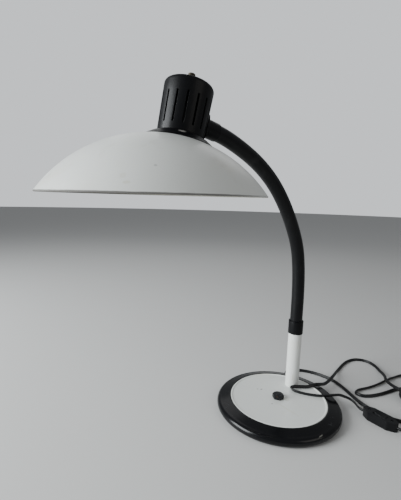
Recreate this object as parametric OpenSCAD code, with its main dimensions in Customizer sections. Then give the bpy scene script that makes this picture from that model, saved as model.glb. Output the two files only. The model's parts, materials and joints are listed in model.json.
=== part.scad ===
// Desk lamp on a weighted round base. A flexible gooseneck carries a white
// domed shade with a black vented lampholder cover. A flex with an in-line
// switch and a mains plug lies beside the base.
// Frame: millimetres, +Z up, origin at the centre of the base on the table.
// The neck bends in the plane y = post_y, and the head is on the -X side.

/* [Base] */
// outside radius of the black rim
rim_r = 96.5; // [80:0.5:120]
// radius of the white cover disc
disc_r = 75; // [60:1:90]
// height of the cover disc's top face
disc_top = 16; // [14:0.5:30]
// thickness of the cover disc
disc_t = 2; // [1:0.5:4]
// radius of the rim's rounded outer edge
rim_round = 6.5; // [4:0.5:9]
// height of the rim where it meets the disc
rim_top = 17; // [13:0.5:29]
// across flats of the centre nut
nut_af = 16; // [10:1:22]

/* [Post] */
// X of the post's axis
post_x = 50.5; // [30:0.5:60]
// Y of the post's axis
post_y = 12.5; // [-20:0.5:20]
// outside radius of the post tube
post_r = 11; // [8:0.5:15]
// height of the post tube's upper end
post_top = 109; // [80:1:160]
// outside radius of the black ferrule on the post
ferrule_r = 12; // [11:0.5:16]
// length of the post's ferrule
ferrule_len = 22; // [15:1:30]

/* [Neck] */
// outside radius of the neck sleeve
neck_r = 10; // [7:0.5:13]
// length of the first neck segment, up to the first hinge
seg_first = 22; // [15:1:40]
// distance between two hinges of the neck
seg_mid = 40; // [25:1:60]
// length of the last neck segment
seg_last = 25.5; // [15:1:40]
// open width at each hinge between two sleeve segments
hinge_gap = 2; // [1.5:0.1:4]
// how far each neck segment turns toward the head, in degrees
neck_turns = [0, 3.4, 6.9, 15.8, 7.6, 8.4, 11.8, 10.1, 6.4, 7.8];

/* [Head] */
// outside radius of the sphere that the shade is a cap of
dome_r = 149.2; // [120:0.1:180]
// height of the shade from rim to crown
dome_h = 63.8; // [40:0.1:90]
// sheet thickness of the shade
dome_t = 1; // [0.8:0.1:2]
// tilt of the lampholder cover from the shade's own axis, in degrees
cover_tilt = 11.8; // [0:0.1:25]
// outside radius of the cover at its lower end
cover_r = 27; // [22:0.5:32]
// outside radius of the cover at its upper end
cover_r_top = 28.5; // [22:0.5:32]
// height of the cover's foot above the shade
cover_foot = 4; // [3:0.1:12]
// height of the cover's top above the shade
cover_top = 63; // [55:0.5:80]
// number of vent slots around the cover, two of them left out at the arm
slot_n = 15; // [10:1:20]
// width of a vent slot
slot_w = 2; // [1:0.1:3]
// height of the slots' lower ends above the shade
slot_low = 12; // [8:0.5:20]
// length of a vent slot
slot_len = 34; // [20:0.5:40]
// height of the arm's axis above the shade, along the cover's axis
arm_s = 25.7; // [20:0.1:40]
// outside radius of the conical flange under the cover
flange_r = 44; // [36:0.5:50]

/* [Flex and switch] */
// diameter of the flex, as a round cord
flex_d = 5; // [4:0.1:8]
// mean radius of the tied coil
coil_r = 31; // [25:0.5:45]
// length of the in-line switch
switch_len = 52; // [45:1:70]
// width of the in-line switch
switch_w = 19.5; // [18:1:30]
// height of the in-line switch
switch_h = 16; // [12:0.5:22]

/* [Hidden] */
$fn = 64;
e = 0.01;
post_foot = disc_top;
neck_z = post_top + ferrule_len;
seg_n = len(neck_turns);
seg_len = [for (i = [0:seg_n - 1]) i == 0 ? seg_first : i == seg_n - 1 ? seg_last : seg_mid];
core_r = 6;
collar_r = 6.2;
core_bore = 2;
end_bore = 2.3;
sleeve_bore = 6.45;
ball_r = 4.5;
ball_play = 0.08;

// x, z and heading of the neck after each small arc, from the post upwards
function chord(len, turn) = turn == 0 ? len : 2 * (len * 180 / PI / turn) * sin(turn / 2);
function step(p, len, turn) =
    [p[0] - chord(len, turn) * sin(p[2] + turn / 2),
     p[1] + chord(len, turn) * cos(p[2] + turn / 2),
     p[2] + turn];
function station(i) = i == 0 ? [post_x, neck_z, 0] : step(station(i - 1), seg_len[i - 1], neck_turns[i - 1]);
neck_end = station(seg_n);

// the head hangs on the end of the neck: a point on its axis at the shade's surface
ferrule_far = 47.9;
nipple_r = 4.3;
arm_dir = [cos(cover_tilt), -sin(cover_tilt)];
up_dir = [sin(cover_tilt), cos(cover_tilt)];
head_x = neck_end[0] - ferrule_far * arm_dir[0] - arm_s * up_dir[0];
head_z = neck_end[1] - ferrule_far * arm_dir[1] - arm_s * up_dir[1];
dome_x = head_x - dome_r * up_dir[0];
dome_z = head_z - dome_r * up_dir[1];
cover_wall = 2;
slot_first = 21.5;
holder_r = 19.5;
holder_hole = 20;
mouth_s = -18;
flange_t = 1.6;

// the lowest point of the cap's underside at a distance r from the cover's axis
function sag(r, ball) = sqrt(ball * ball - r * r) - ball;

exit_a = 30;
exit_z = 6.5;
relief_len = 20;

// routes of the flex, chosen by hand: from the rim to the coil, from the coil
// to the switch, and from the switch over the base to the plug
route_a = [
    [101, 58.3, 6.5], [107, 60.6, 5.5], [114, 60, 3.9], [121.5, 55.8, 2.8], [129, 49, 2.6],
    [135, 40.5, 2.6], [140, 30, 2.6], [143.5, 18, 2.6], [145.5, 4, 2.6], [144.5, -11, 2.6],
    [140, -26, 2.6], [133.5, -41, 2.6], [126.5, -55, 2.6], [120, -69, 2.6], [115.5, -84, 2.6],
    [113.5, -99, 2.6], [114, -114, 2.6], [117.5, -129, 2.6], [123.5, -142, 3.4],
    [130.5, -154, 5.6], [138, -166, 7.9], [147.5, -177, 7.4], [160, -185.5, 4.6],
    [176, -190, 2.8], [193, -191, 2.6], [210, -188.5, 2.6], [226, -182, 2.6], [241, -173, 2.6],
    [255, -163.5, 3], [267, -157, 3.4]];
route_b = [
    [311, -113, 3.4], [309.5, -99, 2.8], [302, -87, 2.6], [289.5, -79, 2.6], [275, -74, 2.6],
    [260, -70.5, 2.6], [244, -67.5, 2.6], [227, -65.5, 2.6], [209, -64, 2.6], [191, -62, 2.6],
    [174, -58.5, 2.6], [161, -54.5, 2.6], [150, -52, 2.6], [140.5, -55.5, 2.6], [140.5, -65, 2.6],
    [149, -73, 2.6], [162, -79, 2.6], [177, -83.5, 2.6], [193, -87, 2.6], [208, -90.5, 2.6],
    [221, -96.5, 2.6], [230, -107.5, 2.6], [233, -122, 2.6], [229.5, -138, 2.6], [220, -152, 2.6],
    [207, -163, 2.6], [191, -170.5, 2.6], [174, -173.5, 2.6], [157, -174.5, 2.6],
    [141, -174, 2.6], [125.5, -172, 2.6], [111, -167.5, 2.8], [100.5, -159.5, 4.4],
    [94.6, -149, 5.8], [93.7, -140.5, 6]];
route_c = [
    [95.3, -93.5, 6], [95.8, -86, 6], [99.5, -79, 5.8], [104, -71.5, 6.6], [103.5, -63, 9],
    [96, -57.5, 13], [85, -54.5, 17.8], [71, -50.5, 20.2], [57.5, -41.5, 19.5], [47, -29, 18.6],
    [39, -16.5, 18.6], [34.5, -5, 18.8], [36, 2.5, 19.8], [43, 0.5, 20.4], [52, -5, 19.8],
    [63, -11.5, 19.4], [77, -15.5, 20.2], [91, -16.5, 16.6], [105, -15, 12], [119, -12.5, 9.6], [133, -9.5, 8.6],
    [148, -5.5, 8.1], [163, -0.5, 6], [179, 5, 3.6], [195, 9.5, 2.6], [212, 13.5, 2.6],
    [229, 16.5, 2.6], [245, 17, 2.6], [260, 13.5, 2.6], [270.5, 4.5, 2.6], [274, -8, 2.6],
    [270.5, -21, 2.6], [263, -32.5, 2.6], [252.5, -43, 3.6], [242, -53, 5.8], [231, -61.5, 7.8],
    [219.5, -69, 8.1], [211.5, -78.5, 8], [205.4, -89, 8.7], [202, -100.1, 9.4]];

coil_c = [278, -124];
switch_c = [94.5, -117];
switch_a = 88;
plug_c = [201.2, -102.1, 9.5];
plug_a = -113;

white = [0.86, 0.87, 0.85];
black = [0.07, 0.07, 0.08];
grey = [0.45, 0.46, 0.48];
brass = [0.75, 0.6, 0.3];

// ---- small shapes ----
module tube(r_out, r_in, h) {
    difference() {
        cylinder(r = r_out, h = h);
        translate([0, 0, -1]) cylinder(r = r_in, h = h + 2);
    }
}

module hex(af, h) {
    cylinder(r = af / 2 / cos(30), h = h, $fn = 6);
}

// a round bar of radius r that bends by turn over length len, less trim at each end
module bent_bar(len, turn, r, trim) {
    if (turn == 0) {
        translate([0, 0, trim]) cylinder(r = r, h = len - 2 * trim);
    } else {
        bend = len * 180 / PI / turn;
        cut = trim * 180 / PI / bend;
        translate([-bend, 0, 0]) rotate([90, 0, 0]) rotate([0, 0, cut])
            rotate_extrude(angle = turn - 2 * cut) translate([bend, 0]) circle(r = r);
    }
}

// children placed at the start of neck segment i, with +Z along the neck
module at_station(i) {
    p = station(i);
    translate([p[0], post_y, p[1]]) rotate([0, -p[2], 0]) children();
}

// children placed on the lampholder's axis, +Z up its axis and +X toward the arm
module at_head() {
    translate([head_x, post_y, head_z]) rotate([0, cover_tilt, 0]) children();
}

module at_dome() {
    translate([dome_x, post_y, dome_z]) children();
}

// a round cord through the points of a route, as one closed tube of eight sides
module flex(route) {
    n = len(route);
    sides = 8;
    r = flex_d / 2;
    function dir(i) =
        let (a = route[max(i - 1, 0)], b = route[min(i + 1, n - 1)], d = b - a) d / norm(d);
    function side(i) = let (d = dir(i), s = [-d[1], d[0], 0]) s / norm(s);
    pts = [for (i = [0:n - 1]) let (s = side(i), u = cross(dir(i), s))
        for (k = [0:sides - 1]) let (a = (k + 0.5) * 360 / sides)
            route[i] + r * (cos(a) * s + sin(a) * u)];
    caps = [[for (k = [0:sides - 1]) k], [for (k = [sides - 1:-1:0]) (n - 1) * sides + k]];
    walls = [for (i = [0:n - 2]) for (k = [0:sides - 1])
        let (a = i * sides + k, b = i * sides + (k + 1) % sides)
            each [[a, a + sides, b], [b, a + sides, b + sides]]];
    polyhedron(points = pts, faces = concat(caps, walls));
}

// ---- base ----
module base_pad() {
    color([0.2, 0.2, 0.19]) cylinder(r = 65.5, h = 3);
}

module base_weight() {
    color(grey) difference() {
        translate([0, 0, 3]) cylinder(r = disc_r - 0.5, h = disc_top - disc_t - 3);
        translate([0, 0, 2]) cylinder(r = 4.1, h = 20);
        translate([post_x, post_y, 2]) cylinder(r = 9, h = 20);
        lead_path(3.4);
    }
}

// the way of the inner lead from the rim to the foot of the post
module lead_path(r) {
    translate([cos(exit_a) * 90, sin(exit_a) * 90, exit_z])
        rotate([0, -90, atan2(sin(exit_a) * 90 - post_y, cos(exit_a) * 90 - post_x)])
            cylinder(r = r, h = 50);
}

module rim_ring() {
    low = 0.5;
    color(black) difference() {
        rotate_extrude() difference() {
            union() {
                polygon([[66, low], [rim_r - rim_round, low], [rim_r - rim_round, 2 * rim_round],
                    [disc_r + 1.4, rim_top], [disc_r + 0.2, rim_top], [disc_r + 0.2, 3 - e],
                    [66, 3 - e]]);
                translate([rim_r - rim_round, rim_round]) circle(r = rim_round);
            }
            translate([0, -5]) square([rim_r + 5, 5 + low]);
        }
        translate([cos(exit_a) * 84, sin(exit_a) * 84, exit_z]) rotate([0, 90, exit_a])
            cylinder(r = 4, h = 30);
        lead_path(3.4);
    }
}

module base_disc() {
    lip = 0.6;
    color(white) difference() {
        union() {
            translate([0, 0, disc_top - disc_t]) cylinder(r = disc_r, h = disc_t);
            translate([0, 0, disc_top - e]) tube(disc_r, disc_r - 1.6, lip);
        }
        translate([0, 0, 10]) cylinder(r = 4.1, h = 20);
        translate([post_x, post_y, 10]) cylinder(r = 6.1, h = 20);
    }
}

module tie_bolt() {
    color(grey) {
        translate([0, 0, 5]) cylinder(r = 4, h = disc_top + 7.6 - 5);
        translate([0, 0, 3.2]) cylinder(r = 4, h = 2);
    }
}

module centre_nut() {
    color(black) translate([0, 0, disc_top]) difference() {
        intersection() {
            hex(nut_af, 6.5);
            union() {
                cylinder(r = 9.3, h = 5.2);
                translate([0, 0, 5.2 - e]) cylinder(r1 = 9.3, r2 = 7.6, h = 1.3 + e);
            }
        }
        translate([0, 0, -1]) cylinder(r = 4.03, h = 12);
    }
}

module cord_bush() {
    color(black) rotate([0, 0, exit_a]) translate([0, 0, exit_z]) rotate([0, 90, 0])
        difference() {
            union() {
                translate([0, 0, 90]) cylinder(r = 3.95, h = 8);
                translate([0, 0, rim_r + 0.1]) cylinder(r1 = 5.5, r2 = 3.7, h = relief_len);
            }
            translate([0, 0, 89]) cylinder(r = 2.55, h = relief_len + 20);
        }
}

module base_lead() {
    color(black) {
        translate([cos(exit_a) * 90, sin(exit_a) * 90, exit_z])
            rotate([0, -90, atan2(sin(exit_a) * 90 - post_y, cos(exit_a) * 90 - post_x)])
                translate([0, 0, 5.5]) cylinder(r = 2.4, h = 38);
    }
}

// ---- post ----
module post_tube() {
    color(white) translate([post_x, post_y, post_foot]) tube(post_r, post_r - 1.5, post_top - post_foot);
}

module post_plug() {
    color(grey) translate([post_x, post_y, 0]) difference() {
        union() {
            translate([0, 0, post_foot + 0.2]) cylinder(r = post_r - 1.55, h = 14);
            translate([0, 0, disc_top - disc_t - 4.5]) cylinder(r = 6, h = disc_t + 5.5);
            translate([0, 0, disc_top - disc_t - 5]) cylinder(r = 8.6, h = 4.8);
        }
        translate([0, 0, 5]) cylinder(r = 3.5, h = 40);
    }
}

module lower_ferrule() {
    color(black) translate([post_x, post_y, post_top]) difference() {
        union() {
            cylinder(r = ferrule_r, h = ferrule_len - 1.5);
            translate([0, 0, ferrule_len - 1.5 - e])
                cylinder(r1 = ferrule_r, r2 = ferrule_r - 1.2, h = 1.5 + e);
            translate([0, 0, -14]) cylinder(r = post_r - 1.55, h = 14 + e);
        }
        translate([0, 0, -20]) cylinder(r = core_r + 0.05, h = 60);
    }
}

// ---- neck ----
// one link of the neck's flexible core: a ball at its start and a cup at its end
module core_link(i) {
    first = i == 0;
    last = i == seg_n - 1;
    back = first ? 18 : 0;
    color(grey) difference() {
        union() {
            at_station(i) {
                if (first) translate([0, 0, -back]) cylinder(r = core_r, h = back + 6);
                if (!first) {
                    sphere(r = ball_r);
                    cylinder(r = 3.2, h = 6);
                    translate([0, 0, 5]) cylinder(r = collar_r, h = 1.5);
                }
                bent_bar(seg_len[i], neck_turns[i], core_r, 5.5);
            }
            at_station(i + 1) {
                translate([0, 0, -6]) cylinder(r = collar_r, h = last ? 18 : 7.4);
            }
        }
        at_station(i) {
            translate([0, 0, -30]) cylinder(r = end_bore, h = 36);
            bent_bar(seg_len[i], neck_turns[i], core_bore, 5);
        }
        at_station(i + 1) {
            translate([0, 0, -6]) cylinder(r = end_bore, h = 30);
            if (!last) sphere(r = ball_r + ball_play);
        }
    }
}

module sleeve_link(i) {
    trim = hinge_gap / 2;
    color(black) at_station(i) difference() {
        union() {
            bent_bar(seg_len[i], neck_turns[i], neck_r, trim);
            if (i == 0) cylinder(r = neck_r, h = trim + 1);
        }
        bent_bar(seg_len[i], neck_turns[i], sleeve_bore, -1);
    }
}

// ---- head ----
module upper_ferrule() {
    color(black) at_head() difference() {
        translate([0, 0, arm_s]) rotate([0, 90, 0]) difference() {
            union() {
                translate([0, 0, 20]) cylinder(r = 11, h = ferrule_far - 20 - 0.6);
                translate([0, 0, ferrule_far - 0.6 - e]) cylinder(r1 = 11, r2 = 10.1, h = 1.5 + e);
            }
            translate([0, 0, 10]) cylinder(r = collar_r + 0.05, h = 50);
        }
        cylinder(r = 29.95, h = 90);
    }
}

module saddle_plate() {
    color(black) at_head() difference() {
        intersection() {
            translate([0, 0, arm_s]) rotate([0, 90, 0]) cylinder(r = 16, h = 40);
            cylinder(r = 29.9, h = 80);
        }
        cylinder(r = 28.1, h = 100);
        translate([0, 0, arm_s]) rotate([0, 90, 0]) cylinder(r = 5.2, h = 50);
    }
}

module neck_bolt() {
    color(grey) at_head() translate([0, 0, arm_s]) rotate([0, 90, 0]) translate([0, 0, 18.4])
        tube(5, 3, 17.3);
}

module lock_nut() {
    color(grey) at_head() translate([0, 0, arm_s]) rotate([0, 90, 0]) translate([0, 0, 20.3])
        difference() {
            rotate([0, 0, 30]) hex(15, 3.6);
            translate([0, 0, -1]) cylinder(r = 5.05, h = 6);
        }
}

module cover() {
    rnd = 5;
    h = cover_top - cover_foot;
    color(black) at_head() difference() {
        translate([0, 0, cover_foot]) rotate_extrude() difference() {
            union() {
                polygon([[0, 0], [cover_r, 0], [cover_r_top, h - rnd], [cover_r_top - rnd, h - rnd],
                    [cover_r_top - rnd, h], [0, h]]);
                intersection() {
                    translate([cover_r_top - rnd, h - rnd]) circle(r = rnd);
                    translate([0, h - rnd]) square(60);
                }
            }
            polygon([[-1, -1], [cover_r - cover_wall, -1], [cover_r_top - cover_wall, h - rnd],
                [cover_r_top - rnd, h - 2.5], [-1, h - 2.5]]);
        }
        translate([0, 0, 50]) cylinder(r = nipple_r + 0.05, h = 40);
        translate([0, 0, arm_s]) rotate([0, 90, 0]) cylinder(r = 5.2, h = 40);
        for (k = [1:slot_n - 2]) rotate([0, 0, slot_first + k * 360 / slot_n])
            translate([20, -slot_w / 2, slot_low]) cube([12, slot_w, slot_len]);
    }
}

module flange() {
    inner = holder_hole + 0.1;
    color(black) at_head() rotate_extrude() polygon([
        [inner, cover_foot - flange_t], [inner, cover_foot], [cover_r + 0.9, cover_foot],
        [34, 0.9], [flange_r, sag(flange_r, dome_r) + 0.55], [flange_r, sag(flange_r, dome_r) + 0.05],
        [flange_r - 0.8, sag(flange_r - 0.8, dome_r) + 0.03],
        [33.2, -0.6], [cover_r - 0.3, cover_foot - flange_t]]);
}

module shade() {
    color(white) difference() {
        at_dome() rotate_extrude() difference() {
            circle(r = dome_r, $fn = 200);
            circle(r = dome_r - dome_t, $fn = 200);
            translate([-2 * dome_r, -2 * dome_r]) square([4 * dome_r, 3 * dome_r - dome_h]);
            translate([-2 * dome_r, -e]) square([2 * dome_r, 2 * dome_r]);
        }
        at_head() translate([0, 0, -20]) cylinder(r = holder_hole, h = 40);
    }
}

module lampholder() {
    color([0.1, 0.1, 0.1]) at_head() difference() {
        rotate_extrude() polygon([
            [0, mouth_s + 31], [14.95, mouth_s + 31], [14.95, mouth_s + 2], [16.2, mouth_s],
            [holder_r, mouth_s], [holder_r, cover_foot + 0.02], [23.6, cover_foot + 0.02],
            [23.6, cover_foot + 2.2], [17, cover_foot + 2.6], [16.5, 34], [9, 41], [0, 41]]);
        translate([0, 0, 37]) cylinder(r = nipple_r + 0.02, h = 10);
        translate([0, 0, mouth_s + 30]) cylinder(r = 1.4, h = 30);
    }
}

module screw_shell() {
    color(brass) at_head() translate([0, 0, mouth_s + 5]) tube(14.9, 13.9, 22);
}

module centre_contact() {
    color(brass) at_head() translate([0, 0, mouth_s + 27.6]) {
        translate([0, 0, 1]) cylinder(r = 4, h = 2.4);
        cylinder(r = 2, h = 2);
    }
}

module shade_ring() {
    color([0.1, 0.1, 0.1]) at_head() translate([0, 0, -9.4]) rotate_extrude()
        polygon([[19.55, 0], [25.5, 0], [27, 1.2], [27, 5.4], [25.5, 8 + sag(25.5, dome_r)],
            [19.55, 8.1 + sag(19.55, dome_r)]]);
}

module nipple() {
    color(grey) at_head() translate([0, 0, 37.1]) tube(nipple_r, 2.6, 38.5);
}

module nipple_nut() {
    color(grey) at_head() translate([0, 0, cover_top - 2.5 - 4.1]) difference() {
        hex(13, 4);
        translate([0, 0, -1]) cylinder(r = nipple_r + 0.03, h = 6);
    }
}

// ---- flex, switch and plug ----
module cord_a() {
    color(black) flex(route_a);
}

module cord_b() {
    color(black) flex(route_b);
}

module cord_c() {
    color(black) flex(route_c);
}

// three turns of flex bound into one ring
module cord_coil() {
    color(black) translate([coil_c[0], coil_c[1], 0.8]) rotate_extrude()
        polygon([[coil_r - 5.6, 0], [coil_r + 5.6, 0], [coil_r + 5.6, 5.4], [coil_r + 3.4, 7.4],
            [coil_r - 3.4, 7.4], [coil_r - 5.6, 5.4]]);
}

module coil_tie() {
    color(black) translate([coil_c[0], coil_c[1], 0]) rotate([0, 0, 115])
        translate([coil_r, 0, 0]) difference() {
            translate([-6.4, -2, 0]) cube([12.8, 4, 9]);
            translate([-5.7, -3, 0.7]) cube([11.4, 6, 7.6]);
        }
}

module at_switch() {
    translate([switch_c[0], switch_c[1], 0]) rotate([0, 0, switch_a]) children();
}

// plan of the switch: a slim body with rounded, narrower ends
module switch_plan(grow) {
    hull() {
        for (s = [-1, 1]) translate([s * (switch_len / 2 - 5), 0]) circle(r = 5 + grow, $fn = 32);
        for (s = [-1, 1]) for (t = [-1, 1])
            translate([s * 13, t * (switch_w / 2 - 4)]) circle(r = 4 + grow, $fn = 32);
    }
}

module switch_base() {
    color(black) at_switch() difference() {
        linear_extrude(height = 7) switch_plan(0);
        translate([0, 0, 2]) linear_extrude(height = 8) switch_plan(-1.6);
        for (s = [-1, 1]) translate([s * (switch_len / 2 - 4), 0, 6]) rotate([0, s * 90, 0])
            cylinder(r = flex_d / 2 + 0.1, h = 8);
    }
}

module switch_lid() {
    top = switch_h - 2.5;
    color(black) at_switch() difference() {
        translate([0, 0, 7]) linear_extrude(height = top - 7) switch_plan(0);
        translate([0, 0, 6]) linear_extrude(height = top - 8) switch_plan(-1.6);
        translate([-9.4, -5.5, 5]) cube([18.8, 11, 20]);
        for (s = [-1, 1]) translate([s * 17, 0, 5]) cylinder(r = 1.8, h = 20);
        for (s = [-1, 1]) translate([s * (switch_len / 2 - 4), 0, 6]) rotate([0, s * 90, 0])
            cylinder(r = flex_d / 2 + 0.1, h = 8);
    }
}

// a curved rocker drawn at rest, pressed down at its -X end
module switch_rocker() {
    color([0.12, 0.12, 0.12]) at_switch() translate([0, 0, 11]) rotate([0, -9, 0]) {
        rotate([90, 0, 0]) translate([0, 0, -4.9]) linear_extrude(height = 9.8)
            polygon([[-7.6, 0.6], [-8.3, 4.2], [0, 3.2], [8.3, 4.2], [7.6, 0.6], [3, -3], [-3, -3]]);
        rotate([90, 0, 0]) cylinder(r = 1.2, h = 10.4, center = true);
    }
}

module switch_screws() {
    color(grey) at_switch() for (s = [-1, 1]) translate([s * 17, 0, 2.2]) cylinder(r = 1.7, h = 10.6);
}

module at_plug() {
    translate(plug_c) rotate([0, 0, plug_a]) children();
}

module plug_body() {
    color(black) at_plug() hull() {
        translate([-2, 0, 0]) rotate([0, 90, 0]) cylinder(r = 4.5, h = 2, $fn = 24);
        translate([8, 0, 0]) rotate([0, 90, 0]) scale([8.6, 13, 1]) cylinder(r = 1, h = 1, $fn = 32);
        translate([17, 0, 0]) rotate([0, 90, 0]) scale([9.5, 17.5, 1]) cylinder(r = 1, h = 23, $fn = 32);
    }
}

module plug_pins() {
    color(brass) at_plug() for (s = [-1, 1]) translate([40, s * 9.5, 0]) rotate([0, 90, 0])
        cylinder(r = 2.4, h = 19);
}

base_pad();
base_weight();
rim_ring();
base_disc();
tie_bolt();
centre_nut();
cord_bush();
base_lead();
post_tube();
post_plug();
lower_ferrule();
core_link(0);  // neck_core_0
core_link(1);  // neck_core_1
core_link(2);  // neck_core_2
core_link(3);  // neck_core_3
core_link(4);  // neck_core_4
core_link(5);  // neck_core_5
core_link(6);  // neck_core_6
core_link(7);  // neck_core_7
core_link(8);  // neck_core_8
core_link(9);  // neck_core_9
sleeve_link(0);  // neck_sleeve_0
sleeve_link(1);  // neck_sleeve_1
sleeve_link(2);  // neck_sleeve_2
sleeve_link(3);  // neck_sleeve_3
sleeve_link(4);  // neck_sleeve_4
sleeve_link(5);  // neck_sleeve_5
sleeve_link(6);  // neck_sleeve_6
sleeve_link(7);  // neck_sleeve_7
sleeve_link(8);  // neck_sleeve_8
sleeve_link(9);  // neck_sleeve_9
upper_ferrule();
saddle_plate();
neck_bolt();
lock_nut();
cover();
flange();
shade();
lampholder();
screw_shell();
centre_contact();
shade_ring();
nipple();
nipple_nut();
cord_a();
cord_coil();
coil_tie();
cord_b();
cord_c();
switch_base();
switch_lid();
switch_rocker();
switch_screws();
plug_body();
plug_pins();
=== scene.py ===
import json
import math

import bmesh
import bpy
from mathutils import Matrix, Vector

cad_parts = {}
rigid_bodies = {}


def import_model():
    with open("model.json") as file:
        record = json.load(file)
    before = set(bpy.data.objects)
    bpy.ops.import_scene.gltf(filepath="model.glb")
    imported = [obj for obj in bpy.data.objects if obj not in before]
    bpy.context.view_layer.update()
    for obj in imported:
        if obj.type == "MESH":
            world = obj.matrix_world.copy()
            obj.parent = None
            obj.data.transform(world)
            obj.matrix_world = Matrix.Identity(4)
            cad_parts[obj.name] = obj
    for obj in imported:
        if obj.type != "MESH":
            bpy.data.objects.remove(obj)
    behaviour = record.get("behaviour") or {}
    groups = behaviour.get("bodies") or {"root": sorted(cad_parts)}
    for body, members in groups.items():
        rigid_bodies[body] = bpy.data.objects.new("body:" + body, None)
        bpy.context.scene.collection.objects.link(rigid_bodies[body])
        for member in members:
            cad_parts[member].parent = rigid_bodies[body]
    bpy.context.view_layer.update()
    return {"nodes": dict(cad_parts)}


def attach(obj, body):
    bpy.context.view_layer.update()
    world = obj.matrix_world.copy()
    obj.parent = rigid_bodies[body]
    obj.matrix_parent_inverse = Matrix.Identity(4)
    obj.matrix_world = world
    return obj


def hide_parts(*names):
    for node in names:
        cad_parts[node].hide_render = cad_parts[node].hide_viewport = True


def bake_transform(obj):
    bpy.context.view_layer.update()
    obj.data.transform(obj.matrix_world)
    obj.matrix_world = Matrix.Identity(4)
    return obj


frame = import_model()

# Desk lamp on a weighted round base: gooseneck, domed shade, vented cover, flex
# with an in-line switch and a plug. Lengths are in millimetres up to the moment a
# mesh is made, which turns them into metres.
MM = 0.001

# ---- driving dimensions, the same as the part's own ----
RIM_R, DISC_R, DISC_TOP, DISC_T, RIM_ROUND, RIM_TOP = 96.5, 75, 16, 2, 6.5, 17
POST_X, POST_Y, POST_R, POST_TOP = 50.5, 12.5, 11, 109
FERRULE_R, FERRULE_LEN = 12, 22
NECK_R, NECK_BORE = 10, 7.6
SEGMENTS = [22] + [40] * 8 + [25.5]
TURNS = [0, 3.4, 6.9, 15.8, 7.6, 8.4, 11.8, 10.1, 6.4, 7.8]
DOME_R, DOME_H, DOME_T, COVER_TILT = 149.2, 63.8, 1.0, 11.8
COVER_R, COVER_R_TOP, COVER_FOOT, COVER_TOP, COVER_WALL = 27, 28.5, 4, 63, 2
SLOTS, SLOT_FIRST, SLOT_W, SLOT_LOW, SLOT_HIGH = 15, 21.5, 2, 12, 46
NIPPLE_R, NIPPLE_LOW, NIPPLE_TOP = 4.3, 37.1, 75.6
ARM_S, FERRULE_FAR, FLANGE_R = 25.7, 47.9, 44
HOLDER_R, HOLDER_HOLE, MOUTH_S = 19.5, 20, -18
EXIT_A, EXIT_Z = 30, 6.5
SWITCH_C, SWITCH_A = (94.5, -117), 88
ROCKER_Z, ROCKER_REST = 11, 9
PLUG_C, PLUG_A = (201.2, -102.1, 9.5), -113
COIL_C, COIL_R = (278, -124), 31


def chord(length, turn):
    """Straight distance between the ends of an arc that turns by turn degrees."""
    if turn == 0:
        return length
    return 2 * math.degrees(length / turn) * math.sin(math.radians(turn / 2))


def neck_stations():
    """x, z and heading of the neck at each end of its segments, from the post up."""
    x, z, heading = POST_X, POST_TOP + FERRULE_LEN, 0.0
    found = [(x, z, heading)]
    for length, turn in zip(SEGMENTS, TURNS):
        middle = math.radians(heading + turn / 2)
        x -= chord(length, turn) * math.sin(middle)
        z += chord(length, turn) * math.cos(middle)
        heading += turn
        found.append((x, z, heading))
    return found


STATIONS = neck_stations()
TILT = math.radians(COVER_TILT)
ARM = Vector((math.cos(TILT), 0, -math.sin(TILT)))
UP = Vector((math.sin(TILT), 0, math.cos(TILT)))
HEAD = Vector((STATIONS[-1][0], POST_Y, STATIONS[-1][1])) - ARM * FERRULE_FAR - UP * ARM_S
DOME = HEAD - UP * DOME_R

# ---- places for the pieces' own axes ----
AT_ORIGIN = Matrix.Identity(4)
AT_POST = Matrix.Translation((POST_X, POST_Y, 0))
AT_HEAD = Matrix.Translation(HEAD) @ Matrix.Rotation(TILT, 4, "Y")
AT_ARM = AT_HEAD @ Matrix.Translation((0, 0, ARM_S)) @ Matrix.Rotation(math.pi / 2, 4, "Y")
AT_EXIT = (Matrix.Rotation(math.radians(EXIT_A), 4, "Z") @ Matrix.Translation((0, 0, EXIT_Z))
           @ Matrix.Rotation(math.pi / 2, 4, "Y"))
AT_SWITCH = (Matrix.Translation((*SWITCH_C, 0))
             @ Matrix.Rotation(math.radians(SWITCH_A), 4, "Z"))
AT_PLUG = Matrix.Translation(PLUG_C) @ Matrix.Rotation(math.radians(PLUG_A), 4, "Z")


# ================= mesh helpers =================
def finish_mesh(name, bm, sharp=32):
    """Turns a bmesh in millimetres into an object in metres, smooth but for sharp edges."""
    bmesh.ops.remove_doubles(bm, verts=bm.verts, dist=1e-4)
    bmesh.ops.recalc_face_normals(bm, faces=bm.faces)
    bmesh.ops.scale(bm, vec=(MM, MM, MM), verts=bm.verts)
    limit = math.radians(sharp)
    for face in bm.faces:
        face.smooth = True
    for edge in bm.edges:
        if len(edge.link_faces) == 2 and edge.calc_face_angle(0) > limit:
            edge.smooth = False
    mesh = bpy.data.meshes.new(name)
    bm.to_mesh(mesh)
    bm.free()
    obj = bpy.data.objects.new(name, mesh)
    bpy.context.scene.collection.objects.link(obj)
    return obj


def loft(bm, rings, wrap=False, skip=()):
    """Faces between rings of points; wrap joins the last ring to the first, and
    skip holds (ring, point) pairs whose face is left out. Open ends are capped."""
    rows = [[bm.verts.new(p) for p in ring] for ring in rings]
    count = len(rows[0])
    for i in range(len(rows) if wrap else len(rows) - 1):
        low, high = rows[i], rows[(i + 1) % len(rows)]
        for k in range(count):
            if (i, k) not in skip:
                n = (k + 1) % count
                bm.faces.new((low[k], low[n], high[n], high[k]))
    if not wrap:
        bm.faces.new(rows[0][::-1])
        bm.faces.new(rows[-1])
    return rows


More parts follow.
